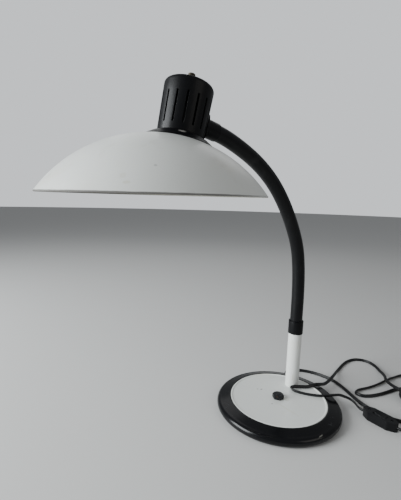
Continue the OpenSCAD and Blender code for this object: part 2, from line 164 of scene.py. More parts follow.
def fillet(points, steps=4):
    """A closed outline with its corners rounded: each point is (r, z) or (r, z, radius)."""
    out = []
    for i, point in enumerate(points):
        here = Vector(point[:2])
        radius = point[2] if len(point) > 2 else 0
        if not radius:
            out.append(here)
            continue
        a = (Vector(points[i - 1][:2]) - here)
        b = (Vector(points[(i + 1) % len(points)][:2]) - here)
        half = a.angle(b) / 2
        cut = min(radius / math.tan(half), a.length * 0.49, b.length * 0.49)
        start, end = here + a.normalized() * cut, here + b.normalized() * cut
        for s in range(steps + 1):
            t = s / steps
            out.append((1 - t) ** 2 * start + 2 * t * (1 - t) * here + t * t * end)
    return out


def lathe(name, outline, place=AT_ORIGIN, steps=96, sharp=32):
    """A closed outline of (r, z, fillet) turned round the Z axis of place."""
    bm = bmesh.new()
    rings = []
    for p in fillet(outline):
        rings.append([place @ Vector((p[0] * math.cos(a), p[0] * math.sin(a), p[1]))
                      for a in (math.tau * k / steps for k in range(steps))])
    loft(bm, rings, wrap=True)
    return finish_mesh(name, bm, sharp)


def thread(name, r_out, depth, pitch, low, high, r_in, place, steps=48, rows_per_turn=8,
           crown=0.0):
    """A tube whose outer wall (or inner wall, for a negative depth) is a helical thread;
    crown rounds off its upper end."""
    bm = bmesh.new()
    rows = int((high - low) / pitch * rows_per_turn)
    rings = []
    for i in range(rows + 1):
        z = low + (high - low) * i / rows
        fade = min(1, i / rows_per_turn, (rows - i) / rows_per_turn)
        ring = []
        for k in range(steps):
            a = math.tau * k / steps
            wave = 0.5 - 0.5 * math.cos(math.tau * (z / pitch) - a)
            r = r_out - depth * wave * fade
            if high - z < crown:
                r -= crown - math.sqrt(max(0, crown ** 2 - (crown - high + z) ** 2))
            ring.append(place @ Vector((r * math.cos(a), r * math.sin(a), z)))
        rings.append(ring)
    for z in (high, low):
        rings.append([place @ Vector((r_in * math.cos(math.tau * k / steps),
                                      r_in * math.sin(math.tau * k / steps), z))
                      for k in range(steps)])
    loft(bm, rings, wrap=True)
    return finish_mesh(name, bm, 50)


def sweep_frames(path):
    """Centre, sideways and upward direction along a path, sideways kept level."""
    frames = []
    for i, here in enumerate(path):
        ahead = path[min(i + 1, len(path) - 1)] - path[max(i - 1, 0)]
        ahead.normalize()
        side = Vector((-ahead.y, ahead.x, 0)).normalized()
        frames.append((here, side, ahead.cross(side)))
    return frames


def applied(obj):
    """The object with its modifiers turned into plain mesh."""
    graph = bpy.context.evaluated_depsgraph_get()
    mesh = bpy.data.meshes.new_from_object(obj.evaluated_get(graph))
    obj.modifiers.clear()
    old, obj.data = obj.data, mesh
    mesh.name = obj.name
    bpy.data.meshes.remove(old)
    return obj


def softened(obj, width, segments=2, angle=35):
    """The object with its hard edges rounded."""
    bevel = obj.modifiers.new("edge", "BEVEL")
    bevel.width, bevel.segments, bevel.limit_method = width * MM, segments, "ANGLE"
    bevel.angle_limit = math.radians(angle)
    bevel.harden_normals = True
    return applied(obj)


def refined(name, node, width, segments=2, angle=35, sharp=30):
    """A copy of a CAD node with its flats merged and its edges rounded."""
    bm = bmesh.new()
    bm.from_mesh(frame["nodes"][node].data)
    bmesh.ops.remove_doubles(bm, verts=bm.verts, dist=1e-6)
    bmesh.ops.dissolve_limit(bm, angle_limit=math.radians(1.5), verts=bm.verts, edges=bm.edges)
    bmesh.ops.scale(bm, vec=(1 / MM,) * 3, verts=bm.verts)
    return softened(finish_mesh(name, bm, sharp), width, segments, angle)


# ================= camera =================
camera = bpy.data.objects.new("camera", bpy.data.cameras.new("camera"))
camera.data.sensor_fit = "AUTO"
camera.data.sensor_width = 36
camera.data.lens = 25.056
camera.data.clip_end = 40
cam_right = Vector((0.7902325, -0.6121996, 0.0272799))
cam_up = Vector((0.0696395, 0.1339410, 0.9885394))
camera.matrix_world = Matrix.Translation((-0.41919, -0.32532, 0.32764)) @ Matrix(
    (cam_right, cam_up, cam_right.cross(cam_up))).transposed().to_4x4()
bpy.context.scene.collection.objects.link(camera)
bpy.context.scene.camera = camera

# ================= flex =================
FLEX_LOBE, FLEX_OFFSET = 1.6, 1.15
FLEX_ROLL = 55                      # how far the flat flex is rolled up from lying flat
ROUTE_A = [
    (101, 58.3, 6.5), (107, 60.6, 5.5), (114, 60, 3.9), (121.5, 55.8, 2.8), (129, 49, 2.6),
    (135, 40.5, 2.6), (140, 30, 2.6), (143.5, 18, 2.6), (145.5, 4, 2.6), (144.5, -11, 2.6),
    (140, -26, 2.6), (133.5, -41, 2.6), (126.5, -55, 2.6), (120, -69, 2.6), (115.5, -84, 2.6),
    (113.5, -99, 2.6), (114, -114, 2.6), (117.5, -129, 2.6), (123.5, -142, 3.4),
    (130.5, -154, 5.6), (138, -166, 7.9), (147.5, -177, 7.4), (160, -185.5, 4.6),
    (176, -190, 2.8), (193, -191, 2.6), (210, -188.5, 2.6), (226, -182, 2.6), (241, -173, 2.6),
    (255, -163.5, 3), (267, -157, 3.4)]
ROUTE_B = [
    (309.5, -99, 2.8), (302, -87, 2.6), (289.5, -79, 2.6), (275, -74, 2.6),
    (260, -70.5, 2.6), (244, -67.5, 2.6), (227, -65.5, 2.6), (209, -64, 2.6), (191, -62, 2.6),
    (174, -58.5, 2.6), (161, -54.5, 2.6), (150, -52, 2.6), (140.5, -55.5, 2.6),
    (140.5, -65, 2.6), (149, -73, 2.6), (162, -79, 2.6), (177, -83.5, 2.6), (193, -87, 2.6),
    (208, -90.5, 2.6), (221, -96.5, 2.6), (230, -107.5, 2.6), (233, -122, 2.6),
    (229.5, -138, 2.6), (220, -152, 2.6), (207, -163, 2.6), (191, -170.5, 2.6),
    (174, -173.5, 2.6), (157, -174.5, 2.6), (141, -174, 2.6), (125.5, -172, 2.6),
    (111, -167.5, 2.8), (100.5, -159.5, 4.4), (94.6, -149, 5.8), (93.7, -140.5, 6)]
ROUTE_C = [
    (95.3, -93.5, 6), (95.8, -86, 6), (99.5, -79, 5.8), (104, -71.5, 6.6), (103.5, -63, 9),
    (96, -57.5, 13), (85, -54.5, 17.8), (71, -50.5, 20.2), (57.5, -41.5, 19.5),
    (47, -29, 18.6), (39, -16.5, 18.6), (34.5, -5, 18.8), (36, 2.5, 19.8), (43, 0.5, 20.4),
    (52, -5, 19.8), (63, -11.5, 19.4), (77, -15.5, 20.2), (91, -16.5, 16.6), (105, -15, 12),
    (119, -12.5, 9.6), (133, -9.5, 8.6), (148, -5.5, 8.1), (163, -0.5, 6), (179, 5, 3.6),
    (195, 9.5, 2.6), (212, 13.5, 2.6), (229, 16.5, 2.6), (245, 17, 2.6), (260, 13.5, 2.6),
    (270.5, 4.5, 2.6), (274, -8, 2.6), (270.5, -21, 2.6), (263, -32.5, 2.6),
    (252.5, -43, 3.6), (242, -53, 5.8), (231, -61.5, 7.8), (219.5, -69, 8.1),
    (211.5, -78.5, 8), (205.4, -89, 8.7), (202, -100.1, 9.4)]
COIL_START, COIL_SWEEP = 251.6, 3 * 360 + 126.8
COIL_LOW, COIL_HIGH = 2.6, 6.0
COIL_LAYERS = [(2.85, COIL_LOW), (-2.85, COIL_LOW), (-2.85, COIL_HIGH), (2.85, COIL_HIGH)]
COIL_STEP, COIL_SHIFT = 12, 36      # degrees between points, and taken by a change of layer


def smooth_path(points, per=6):
    """A Catmull-Rom curve through the points."""
    pts = [Vector(p) for p in points]
    pts = [2 * pts[0] - pts[1]] + pts + [2 * pts[-1] - pts[-2]]
    out = []
    for i in range(1, len(pts) - 2):
        p0, p1, p2, p3 = pts[i - 1:i + 3]
        for s in range(per):
            t = s / per
            out.append(0.5 * (2 * p1 + (p2 - p0) * t + (2 * p0 - 5 * p1 + 4 * p2 - p3) * t * t
                              + (3 * p1 - p0 - 3 * p2 + p3) * t ** 3))
    out.append(pts[-2])
    return out


def coil_points():
    """The wound turns: two side by side, then two on top of them."""
    out = []
    for k in range(COIL_STEP, int(COIL_SWEEP), COIL_STEP):
        turn, within = divmod(k, 360)
        now = COIL_LAYERS[int(turn)]
        nxt = COIL_LAYERS[min(int(turn) + 1, 3)]
        t = max(0, (within - 360 + COIL_SHIFT) / COIL_SHIFT)
        t = t * t * (3 - 2 * t)
        r = COIL_R + now[0] * (1 - t) + nxt[0] * t
        a = math.radians(COIL_START + k)
        out.append((COIL_C[0] + r * math.cos(a), COIL_C[1] + r * math.sin(a),
                    now[1] * (1 - t) + nxt[1] * t))
    return out


def flex_piece(name, path):
    """Flat twin flex along a path: two round cores side by side under one skin. It
    lies flat in the coil and rolls up on its edge away from it."""
    opening = math.acos(-FLEX_OFFSET / FLEX_LOBE)
    arc = [-opening + 2 * opening * k / 8 for k in range(9)]
    right = [(FLEX_OFFSET + FLEX_LOBE * math.cos(a), FLEX_LOBE * math.sin(a)) for a in arc]
    section = right + [(-x, -y) for x, y in right[1:-1]]
    bm = bmesh.new()
    rings = []
    for c, side, up in sweep_frames(path):
        away = (c.xy - Vector(COIL_C)).length - COIL_R
        roll = math.radians(FLEX_ROLL) * min(1, max(0, (away - 8) / 30))
        wide = side * math.cos(roll) + up * math.sin(roll)
        thin = up * math.cos(roll) - side * math.sin(roll)
        rings.append([c + wide * x + thin * y for x, y in section])
    loft(bm, rings)
    return finish_mesh(name, bm, 60)


def path_length(path):
    return sum((b - a).length for a, b in zip(path, path[1:]))


main_path = smooth_path(ROUTE_A + coil_points() + ROUTE_B)
plug_path = smooth_path(ROUTE_C)
flex_main = flex_piece("flex_to_switch", main_path)
flex_plug = flex_piece("flex_to_plug", plug_path)


# ================= materials =================
class Value:
    """A shader socket; arithmetic on it adds Math nodes."""

    def __init__(self, finish, socket):
        self.finish, self.socket = finish, socket

    def math(self, operation, *others):
        return self.finish.get("ShaderNodeMath", {"operation": operation},
                               {i: v for i, v in enumerate((self, *others))})

    def __add__(self, other):
        return self.math("ADD", other)

    def __mul__(self, other):
        return self.math("MULTIPLY", other)

    def __sub__(self, other):
        return self.math("SUBTRACT", other)

    def __rsub__(self, other):
        return self.finish.get("ShaderNodeMath", {"operation": "SUBTRACT"}, {0: other, 1: self})

    __radd__ = __add__
    __rmul__ = __mul__


class Finish:
    """A material with one Principled shader and the nodes that vary it."""

    def __init__(self, name, color, roughness, metallic=0.0, constants=None):
        self.material = bpy.data.materials.new(name)
        self.material.use_nodes = True
        self.tree = self.material.node_tree
        self.tree.nodes.clear()
        self.shader = self.node("ShaderNodeBsdfPrincipled", {}, {
            "Base Color": (*color, 1), "Roughness": roughness, "Metallic": metallic,
            **(constants or {})})
        out = self.node("ShaderNodeOutputMaterial")
        self.tree.links.new(self.shader.outputs[0], out.inputs[0])
        self.material.diffuse_color = (*color, 1)
        self.place = Value(self, self.node("ShaderNodeTexCoord").outputs["Object"])

    def node(self, kind, settings=None, inputs=None):
        """A node of a type, with its settings made first and then its sockets."""
        made = self.tree.nodes.new(kind)
        for key, value in (settings or {}).items():
            setattr(made, key, value)
        for key, value in (inputs or {}).items():
            if isinstance(value, Value):
                self.tree.links.new(value.socket, made.inputs[key])
            else:
                made.inputs[key].default_value = value
        return made

    def get(self, kind, settings=None, inputs=None, output=0):
        return Value(self, self.node(kind, settings, inputs).outputs[output])

    def moved(self, at=(0, 0, 0), turn=(0, 0, 0), scale=(1, 1, 1)):
        """Object coordinates in metres, centred on at, then turned and scaled."""
        centred = self.get("ShaderNodeMapping", {"vector_type": "POINT"}, {
            "Vector": self.place, "Location": [-a for a in at]})
        return self.get("ShaderNodeMapping", {"vector_type": "POINT"}, {
            "Vector": centred, "Rotation": turn, "Scale": scale})

    def noise(self, scale, detail=3, vector=None, roughness=0.5):
        return self.get("ShaderNodeTexNoise", {}, {
            "Vector": vector or self.place, "Scale": scale, "Detail": detail,
            "Roughness": roughness})

    def step(self, value, low, high, a=0.0, b=1.0):
        """A smooth step from a to b as value goes from low to high."""
        return self.get("ShaderNodeMapRange", {"interpolation_type": "SMOOTHSTEP"}, {
            0: value, 1: low, 2: high, 3: a, 4: b})

    def mixed(self, factor, first, second):
        """A colour between two colours."""
        return self.get("ShaderNodeMix", {"data_type": "RGBA"}, {
            0: factor, 6: first if isinstance(first, Value) else (*first, 1),
            7: second if isinstance(second, Value) else (*second, 1)}, output=2)

    def near(self, at, size, soft=0.3):
        """1 inside an ellipsoid of half-sizes size round at, in metres, 0 outside."""
        local = self.moved(at, scale=[1 / s for s in size])
        distance = self.get("ShaderNodeVectorMath", {"operation": "LENGTH"}, {0: local}, output=1)
        return self.step(distance, 1 - soft, 1 + soft, 1.0, 0.0)

    def worn(self, color, marks):
        """Worn marks over a colour; each is (centre, half-sizes, turn, tint, strength)."""
        for at, size, turn, tint, strength in marks:
            local = self.moved([MM * a for a in at])
            local = self.get("ShaderNodeMapping", {"vector_type": "POINT"}, {
                "Vector": local, "Rotation": (0, 0, math.radians(turn)),
                "Scale": [1 / (MM * s) for s in size]})
            distance = self.get("ShaderNodeVectorMath", {"operation": "LENGTH"}, {0: local}, 1)
            ragged = distance + self.noise(300, 4) * 1.3
            color = self.mixed(self.step(ragged, 1.25, 1.7, strength, 0.0), color, tint)
        return color

    def link(self, value, socket):
        self.tree.links.new(value.socket, self.shader.inputs[socket])

    def bump(self, height, distance, strength=1.0):
        self.link(self.get("ShaderNodeBump", {}, {
            "Height": height, "Distance": distance, "Strength": strength}), "Normal")


def enamel_finish(name, marks=(), lip=None, centre=None, bead_highlight_radius=None):
    """Aged off-white enamel: faint yellowing, soft gloss, small worn marks. A height
    lip paints a dark band along the rim there and a centre paints the dome's inner skin darker
    round it, both painted shade; the radius given last paints the enamel within it darker, so the
    raised bead outside it stands lighter as a painted highlight."""
    f = Finish(name, (0.80, 0.815, 0.785), 0.36, 0, {"Coat Weight": 0.2, "Coat Roughness": 0.25})
    stain = f.step(f.noise(14, 4), 0.52, 0.74) * 0.6
    grime = f.step(f.noise(55, 6), 0.58, 0.78) * 0.18
    color = f.mixed(stain, (0.80, 0.82, 0.79), (0.75, 0.735, 0.645))
    color = f.mixed(grime, color, (0.42, 0.39, 0.33))
    # Painted shade: the inner skin of the dome is painted darker and yellower than the outside.
    if centre:
        away = f.get("ShaderNodeVectorMath", {"operation": "LENGTH"}, {0: f.moved(centre * MM)}, 1)
        inside = f.step(away, (DOME_R - 0.6) * MM, (DOME_R - 0.4) * MM, 0.65, 0.0)
        color = f.mixed(inside, color, (0.50, 0.47, 0.39))
    # Painted shade: the lowest millimetre or so at the rim is painted dark brown, where the inside of the
    # dome lies in shadow. It is strongest towards -x and fades towards +x.
    if lip:
        height = f.get("ShaderNodeSeparateXYZ", {}, {0: f.place}, 2)
        edge = height + f.noise(90, 3) * 0.0006
        along = f.get("ShaderNodeSeparateXYZ", {}, {0: f.place}, 0)
        low = f.step(edge, (lip + 0.5) * MM, (lip + 1.3) * MM, 0.85, 0.0)
        color = f.mixed(low * f.step(along, -0.24, -0.12, 1.0, 0.2), color, (0.055, 0.047, 0.04))
    # Painted highlight: the enamel within the given radius is painted a darker grey, so the raised bead
    # outside it stands lighter.
    if bead_highlight_radius:
        flat = f.get("ShaderNodeVectorMath", {"operation": "MULTIPLY"}, {
            0: f.place, 1: (1, 1, 0)})
        out = f.get("ShaderNodeVectorMath", {"operation": "LENGTH"}, {0: flat}, 1)
        color = f.mixed(f.step(out, (bead_highlight_radius - 0.6) * MM, (bead_highlight_radius + 0.4) * MM, 0.8, 0.0), color,
                        (0.68, 0.70, 0.68))
    f.link(f.worn(color, marks), "Base Color")
    f.link(f.noise(30, 4) * 0.16 + 0.26, "Roughness")
    f.bump(f.noise(420, 2), 0.00012, 0.25)
    return f.material


def gloss_black_finish(name, rough=0.2, scuffs=0.5, scale=60, shine=0.26, marks=()):
    """Moulded black with a soft gloss, dulled here and there by handling."""
    black = (0.0035, 0.0037, 0.0045)
    f = Finish(name, black, rough, 0, {"Specular IOR Level": shine, "Coat Weight": 0.04,
                                       "Coat Roughness": 0.1})
    worn = f.step(f.noise(scale, 6, roughness=0.65), 0.60, 0.72) * f.step(f.noise(11, 2), 0.48, 0.62)
    dust = f.step(f.noise(500, 2), 0.66, 0.8) * 0.06
    color = f.mixed(worn * scuffs, black, (0.06, 0.062, 0.066))
    color = f.mixed(dust, color, (0.16, 0.16, 0.155))
    f.link(f.worn(color, marks), "Base Color")
    f.link(worn * 0.35 + f.noise(24, 3) * 0.14 + (rough - 0.06), "Roughness")
    f.bump(f.noise(700, 2), 0.00006, 0.3)
    return f.material


def matt_black_finish(name, color=(0.006, 0.0062, 0.007), rough=0.5, grain=900, height=0.00008):
    """Soft black plastic or rubber with a fine grain."""
    f = Finish(name, color, rough, 0, {"Specular IOR Level": 0.35})
    bloom = f.step(f.noise(35, 5), 0.5, 0.8) * 0.2
    f.link(f.mixed(bloom, color, (0.03, 0.031, 0.033)), "Base Color")
    f.link(f.noise(60, 3) * 0.2 + (rough - 0.1), "Roughness")
    f.bump(f.noise(grain, 3), height, 0.5)
    return f.material


def sleeve_finish(name):
    """The neck's plastic sleeve: satin black, drawn along its length."""
    f = Finish(name, (0.0035, 0.0037, 0.0045), 0.36, 0, {"Specular IOR Level": 0.22})
    drawn = f.noise(1.0, 4, f.moved(scale=(420, 420, 18)))
    dust = f.step(f.noise(70, 6), 0.55, 0.8) * 0.16
    f.link(f.mixed(dust, (0.0035, 0.0037, 0.0045), (0.05, 0.05, 0.05)), "Base Color")
    f.link(drawn * 0.2 + 0.24, "Roughness")
    f.bump(drawn + f.noise(900, 2) * 0.4, 0.00012, 0.5)
    return f.material


def metal_finish(name, color, rough=0.3, tarnish=(0.2, 0.15, 0.1), amount=0.4, keep_colour_near=None):
    """Turned or plated metal with fine tool lines and a little tarnish. Given a point as its
    last argument, it is painted near-black except within 6 mm of that point."""
    f = Finish(name, color, rough, 1.0)
    spots = f.step(f.noise(130, 5), 0.5, 0.72) * amount
    shown = f.mixed(spots, color, tarnish)
    if keep_colour_near:
        shown = f.mixed(f.near(keep_colour_near * MM, (0.006,) * 3), (0.006, 0.006, 0.006), shown)
    f.link(shown, "Base Color")
    lines = f.noise(90, 3, f.moved(scale=(1, 1, 12)))
    f.link(lines * 0.25 + (rough - 0.08), "Roughness")
    f.bump(lines, 0.00008, 0.4)
    return f.material


def cast_finish(name):
    """Bare cast iron."""
    f = Finish(name, (0.09, 0.09, 0.095), 0.65, 0.6)
    rust = f.step(f.noise(60, 6), 0.55, 0.7) * 0.5
    f.link(f.mixed(rust, (0.09, 0.09, 0.095), (0.13, 0.07, 0.04)), "Base Color")
    f.link(f.noise(120, 3) * 0.2 + 0.55, "Roughness")
    f.bump(f.noise(380, 5), 0.0004, 0.6)
    return f.material


def felt_finish(name):
    """Pressed felt under the base."""
    f = Finish(name, (0.035, 0.04, 0.036), 0.95)
    fibre = f.noise(1600, 6, roughness=0.7)
    f.link(f.mixed(f.step(fibre, 0.4, 0.7), (0.02, 0.024, 0.021), (0.07, 0.075, 0.068)), "Base Color")
    f.bump(fibre, 0.0004, 0.8)
    return f.material


STAIN, GREY_MARK, CHIP = (0.52, 0.49, 0.33), (0.30, 0.30, 0.29), (0.05, 0.05, 0.045)
# The last two arguments paint shade: a dark band along the rim and a darker inner skin of the dome.
SHADE_ENAMEL = enamel_finish("aged_lampshade_enamel_with_painted_shadow", [
    ((-297.5, -68.7, 343.5), (3, 3, 4.5), 20, STAIN, 0.2),
    ((-297.9, -74.7, 338), (4, 3, 1.6), 20, STAIN, 0.28),
    ((-273, -76.5, 352.4), (1.6, 2, 1.5), 20, GREY_MARK, 0.4),
    ((-268, -77, 351), (0.8, 1.5, 0.8), 20, GREY_MARK, 0.4),
    ((-336.5, -50, 333), (1.6, 3, 1.4), 0, CHIP, 0.7)], DOME[2] + DOME_R - DOME_H, DOME)
POST_ENAMEL = enamel_finish("aged_enamel_post", [
    ((42, 4, 34), (3, 3, 9), 0, STAIN, 0.25)])
# Its last argument paints the flat of the disc darker than the raised bead round it, a painted highlight
# on the bead.
DISC_ENAMEL = enamel_finish("aged_disc_enamel_with_painted_highlight", [
    ((-7.6, 36.5, 16), (2.0, 0.8, 2), 60, CHIP, 0.85),
    ((-3.6, 32.3, 16), (2.6, 0.9, 2), -30, CHIP, 0.85),
    ((-20.8, -5.6, 16), (1.8, 1.4, 2), 0, GREY_MARK, 0.7),
    ((-13, -30, 16), (2.0, 22, 2), -38, STAIN, 0.22),
    ((8, -10, 16), (6, 6, 2), 0, STAIN, 0.25)], bead_highlight_radius=DISC_R - 3)
RIM_BLACK = gloss_black_finish("rim_gloss_black", 0.19, 0.6, 45, 0.26, [
    ((-22, -91, 14), (7, 0.9, 4), -14, (0.30, 0.29, 0.26), 0.5)])
COVER_BLACK = gloss_black_finish("cover_soft_black", 0.38, 0.4, 90, 0.15, [
    ((-206.5, -17.5, 395.8), (4.5, 4, 2.5), 0, (0.34, 0.33, 0.31), 0.8)])
SWITCH_BLACK = gloss_black_finish("switch_gloss_black", 0.2, 0.3, 120)
HOLDER_BLACK = gloss_black_finish("holder_bakelite", 0.3, 0.3, 80)
SLEEVE_BLACK = sleeve_finish("sleeve_satin_black")
FLEX_BLACK = matt_black_finish("flex_black", rough=0.42, grain=700)
RUBBER_BLACK = matt_black_finish("rubber_black", rough=0.5)
STEEL = metal_finish("plated_steel", (0.42, 0.42, 0.41), 0.34)
DARK_STEEL = metal_finish("blackened_steel", (0.035, 0.036, 0.04), 0.38, (0.12, 0.08, 0.05), 0.5)
BRASS = metal_finish("brass", (0.62, 0.47, 0.20), 0.3, (0.25, 0.15, 0.06), 0.4)
# Painted near-black everywhere but round the top of the stud.
STUD_METAL = metal_finish("stud_metal", (0.085, 0.075, 0.055), 0.5, (0.05, 0.04, 0.03), 0.6,
                          AT_HEAD @ Vector((0, 0, NIPPLE_TOP)))
PIN_METAL = metal_finish("nickel_pins", (0.66, 0.65, 0.61), 0.2, (0.4, 0.36, 0.28), 0.25)
IRON = cast_finish("cast_iron")
FELT = felt_finish("felt")


def dress(obj, material, body=None, replaces=()):
    """Gives a piece its material, the body it rides on and the CAD nodes it stands for."""
    obj.data.materials.clear()
    obj.data.materials.append(material)
    if body:
        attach(obj, body)
    if replaces:
        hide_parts(*replaces)
    return obj


# ================= geometry nodes =================
class Recipe:
    """A Geometry Nodes tree with named inputs for its sizes."""

    def __init__(self, name, sizes, material):
        self.tree = bpy.data.node_groups.new(name, "GeometryNodeTree")
        face = self.tree.interface
        self.ids = {}
        for label, kind in sizes.items():
            self.ids[label] = face.new_socket(label, in_out="INPUT", socket_type=kind).identifier
        face.new_socket("Geometry", in_out="OUTPUT", socket_type="NodeSocketGeometry")
        self.sizes = self.tree.nodes.new("NodeGroupInput")
        self.material = material

    def node(self, kind, settings=None, inputs=None):
        made = self.tree.nodes.new(kind)
        for key, value in (settings or {}).items():
            setattr(made, key, value)
        for key, value in (inputs or {}).items():
            if isinstance(value, bpy.types.NodeSocket):
                self.tree.links.new(value, made.inputs[key])
            else:
                made.inputs[key].default_value = value
        return made

    def size(self, label):
        return self.sizes.outputs[label]

    def close(self, geometry):
        real = self.node("GeometryNodeRealizeInstances", {}, {0: geometry})
        dressed = self.node("GeometryNodeSetMaterial", {}, {0: real.outputs[0], "Material": self.material})
        out = self.tree.nodes.new("NodeGroupOutput")
        self.tree.links.new(dressed.outputs[0], out.inputs[0])
        return self

    def make(self, name, place, **values):
        """Runs the tree and returns its plain mesh, put in place; lengths in millimetres."""
        holder = bpy.data.objects.new(name, bpy.data.meshes.new(name))
        bpy.context.scene.collection.objects.link(holder)
        modifier = holder.modifiers.new(name, "NODES")
        modifier.node_group = self.tree
        for label, value in values.items():
            modifier[self.ids[label]] = value
        graph = bpy.context.evaluated_depsgraph_get()
        mesh = bpy.data.meshes.new_from_object(holder.evaluated_get(graph))
        bpy.data.objects.remove(holder)
        bm = bmesh.new()
        bm.from_mesh(mesh)
        bpy.data.meshes.remove(mesh)
        bmesh.ops.transform(bm, matrix=place, verts=bm.verts)
        return finish_mesh(name, bm, 40)


def rib_ring_recipe(name, material):
    """Upright round ribs standing in a ring, such as the grips of a screwed ring."""
    r = Recipe(name, {"Count": "NodeSocketInt", "Radius": "NodeSocketFloat",
                      "Rib radius": "NodeSocketFloat", "Rib height": "NodeSocketFloat"}, material)
    ring = r.node("GeometryNodeMeshCircle", {}, {"Vertices": r.size("Count"), "Radius": r.size("Radius")})
    rib = r.node("GeometryNodeMeshCylinder", {}, {
        "Vertices": 10, "Radius": r.size("Rib radius"), "Depth": r.size("Rib height")})
    spread = r.node("GeometryNodeInstanceOnPoints", {}, {
        "Points": ring.outputs[0], "Instance": rib.outputs[0]})
    return r.close(spread.outputs[0])


def screw_pair_recipe(name, material):
    """Two screw heads with a cross cut in each, at equal distances from the middle."""
    r = Recipe(name, {"Spacing": "NodeSocketFloat", "Head radius": "NodeSocketFloat",
                      "Head height": "NodeSocketFloat", "Slot width": "NodeSocketFloat"}, material)
    row = r.node("GeometryNodeMeshLine", {"mode": "OFFSET"}, {"Count": 2})
    step = r.node("ShaderNodeCombineXYZ", {}, {"X": r.size("Spacing")})
    half = r.node("ShaderNodeVectorMath", {"operation": "SCALE"}, {0: step.outputs[0], "Scale": -0.5})
    r.tree.links.new(step.outputs[0], row.inputs["Offset"])
    r.tree.links.new(half.outputs[0], row.inputs["Start Location"])
    head = r.node("GeometryNodeMeshCylinder", {}, {
        "Vertices": 24, "Radius": r.size("Head radius"), "Depth": r.size("Head height")})
    wide = r.node("ShaderNodeCombineXYZ", {}, {
        "X": 2.4, "Y": r.size("Slot width"), "Z": 1.2})
    deep = r.node("ShaderNodeCombineXYZ", {}, {
        "X": r.size("Slot width"), "Y": 2.4, "Z": 1.2})
    cutters = r.node("GeometryNodeJoinGeometry")
    raised = r.node("ShaderNodeMath", {"operation": "MULTIPLY"}, {0: r.size("Head height"), 1: 0.5})
    up = r.node("ShaderNodeCombineXYZ", {}, {"Z": raised.outputs[0]})
    for size in (wide, deep):
        box = r.node("GeometryNodeMeshCube", {}, {"Size": size.outputs[0]})
        r.tree.links.new(box.outputs[0], cutters.inputs[0])
    lifted = r.node("GeometryNodeTransform", {}, {0: cutters.outputs[0], "Translation": up.outputs[0]})
    cut = r.node("GeometryNodeMeshBoolean", {"operation": "DIFFERENCE"}, {})
    r.tree.links.new(head.outputs[0], cut.inputs["Mesh 1"])
    r.tree.links.new(lifted.outputs[0], cut.inputs["Mesh 2"])
    spread = r.node("GeometryNodeInstanceOnPoints", {}, {
        "Points": row.outputs[0], "Instance": cut.outputs[0]})
    return r.close(spread.outputs[0])


def relief_rings_recipe(name, material):
    """Rings along a strain relief, each a little smaller than the one before."""
    r = Recipe(name, {"Count": "NodeSocketInt", "Pitch": "NodeSocketFloat",
                      "First radius": "NodeSocketFloat", "Shrink": "NodeSocketFloat",
                      "Ring thickness": "NodeSocketFloat", "Flatness": "NodeSocketFloat"}, material)
    row = r.node("GeometryNodeMeshLine", {"mode": "OFFSET"}, {"Count": r.size("Count")})
    step = r.node("ShaderNodeCombineXYZ", {}, {"Z": r.size("Pitch")})
    r.tree.links.new(step.outputs[0], row.inputs["Offset"])
    circle = r.node("GeometryNodeCurvePrimitiveCircle", {}, {"Resolution": 40, "Radius": 1.0})
    bead = r.node("GeometryNodeCurvePrimitiveCircle", {}, {
        "Resolution": 8, "Radius": r.size("Ring thickness")})
    ring = r.node("GeometryNodeCurveToMesh", {}, {0: circle.outputs[0], 1: bead.outputs[0]})
    index = r.node("GeometryNodeInputIndex")
    less = r.node("ShaderNodeMath", {"operation": "MULTIPLY"}, {0: index.outputs[0], 1: r.size("Shrink")})
    radius = r.node("ShaderNodeMath", {"operation": "SUBTRACT"}, {
        0: r.size("First radius"), 1: less.outputs[0]})
    flat = r.node("ShaderNodeMath", {"operation": "MULTIPLY"}, {
        0: radius.outputs[0], 1: r.size("Flatness")})
    scale = r.node("ShaderNodeCombineXYZ", {}, {
        "X": flat.outputs[0], "Y": radius.outputs[0], "Z": r.size("First radius")})
    spread = r.node("GeometryNodeInstanceOnPoints", {}, {
        "Points": row.outputs[0], "Instance": ring.outputs[0], "Scale": scale.outputs[0]})
    return r.close(spread.outputs[0])


# ================= base =================
dress(frame["nodes"]["base_pad"], FELT)
dress(frame["nodes"]["base_weight"], IRON)
dress(frame["nodes"]["base_lead"], FLEX_BLACK)
dress(frame["nodes"]["post_plug"], STEEL)

rim_slope = RIM_R - RIM_ROUND
rim_arc = [(rim_slope + RIM_ROUND * math.cos(math.radians(a)),
            RIM_ROUND + RIM_ROUND * math.sin(math.radians(a))) for a in range(-66, 91, 12)]
rim = lathe("rim_ring_piece", [(66.2, 0.5), (rim_slope + 1.5, 0.5)] + rim_arc + [
    (rim_slope - 1.2, 2 * RIM_ROUND + 0.35, 0.8), (DISC_R + 1.6, RIM_TOP, 0.5),
    (DISC_R + 0.25, RIM_TOP, 0.3), (DISC_R + 0.25, 3.1), (66.2, 3.1)], steps=180, sharp=28)
dress(rim, RIM_BLACK, "base", ["rim_ring"])

disc = lathe("base_disc_piece", [
    (4.2, DISC_TOP - DISC_T), (DISC_R - 0.05, DISC_TOP - DISC_T), (DISC_R, DISC_TOP + 0.85, 0.8),
    (DISC_R - 2.1, DISC_TOP + 0.85, 0.8), (DISC_R - 3.2, DISC_TOP, 0.5), (4.2, DISC_TOP)],
    steps=180, sharp=40)
dress(disc, DISC_ENAMEL, "base", ["base_disc"])

nut = refined("centre_nut_piece", "centre_nut", 0.35)
dress(nut, DARK_STEEL, "base", ["centre_nut"])
bolt = thread("tie_bolt_piece", 3.95, 0.5, 1.0, 5.0, DISC_TOP + 7.5, 0.001, AT_ORIGIN)
dress(bolt, DARK_STEEL, "base", ["tie_bolt"])

